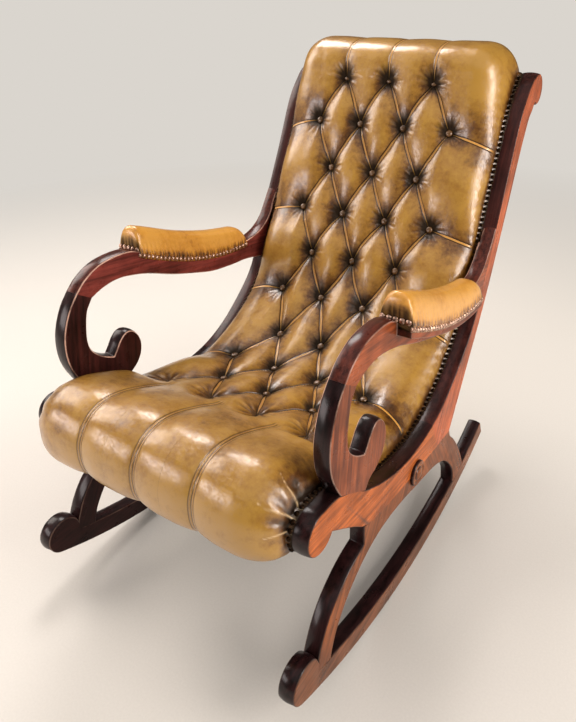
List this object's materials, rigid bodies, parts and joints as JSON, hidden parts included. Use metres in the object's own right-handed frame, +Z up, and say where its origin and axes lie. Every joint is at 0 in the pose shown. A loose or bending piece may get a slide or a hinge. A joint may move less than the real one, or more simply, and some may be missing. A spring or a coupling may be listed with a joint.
{
  "type": "rocking chair",
  "caption": "Scroll-arm rocking chair with sawn hardwood side frames on curved rockers and deep-buttoned leather back and seat",
  "frame": {"origin": "Centre of the bounding box on the floor, at the lowest point of the rockers", "axes": "+X towards the sitter's left, which is the viewer's right, -Y towards the front, +Z up"},
  "size_m": [0.648, 0.9998, 0.9628],
  "materials": {
    "frame_wood": "French polished mahogany with worn edges",
    "dark_wood": "dark polished mahogany",
    "arm_wood": "polished mahogany, rubbed lighter by hands",
    "inner_wood": "sawn beech, unfinished",
    "seat_leather": "antiqued, waxed and creased",
    "pad_leather": "waxed, worn at the front",
    "button_leather": "waxed",
    "back_leather": "waxed, plain",
    "nail_brass": "antiqued dark",
    "bolt_steel": "browned",
    "webbing_jute": "woven jute",
    "hessian_cloth": "open jute weave",
    "cover_cloth": "black calico"
  },
  "bodies": {
    "root": {"left_stile": "frame_wood", "left_seat_rail": "frame_wood", "left_front_leg": "frame_wood", "left_rear_leg": "frame_wood", "left_rocker": "dark_wood", "left_arm_rest": "arm_wood", "left_arm_scroll": "dark_wood", "left_boss": "frame_wood", "left_frame_dowels": "inner_wood", "left_tacking_battens": "inner_wood", "left_arm_pad": "pad_leather", "left_arm_pad_nails": "nail_brass", "left_side_nails": "nail_brass", "right_stile": "frame_wood", "right_seat_rail": "frame_wood", "right_front_leg": "frame_wood", "right_rear_leg": "frame_wood", "right_rocker": "dark_wood", "right_arm_rest": "arm_wood", "right_arm_scroll": "dark_wood", "right_boss": "frame_wood", "right_frame_dowels": "inner_wood", "right_tacking_battens": "inner_wood", "right_arm_pad": "pad_leather", "right_arm_pad_nails": "nail_brass", "right_side_nails": "nail_brass", "crest_rail": "inner_wood", "lumbar_rail": "inner_wood", "front_seat_rail": "inner_wood", "rear_seat_rail": "inner_wood", "corner_blocks": "inner_wood", "stretcher": "dark_wood", "stretcher_bolts": "bolt_steel", "stretcher_nuts": "bolt_steel", "back_webbing": "webbing_jute", "seat_webbing": "webbing_jute", "hessian": "hessian_cloth", "tufted_back": "seat_leather", "tufted_seat": "seat_leather", "front_roll": "seat_leather", "buttons": "button_leather", "outside_back": "back_leather", "dust_cover": "cover_cloth"}
  },
  "joints": []
}
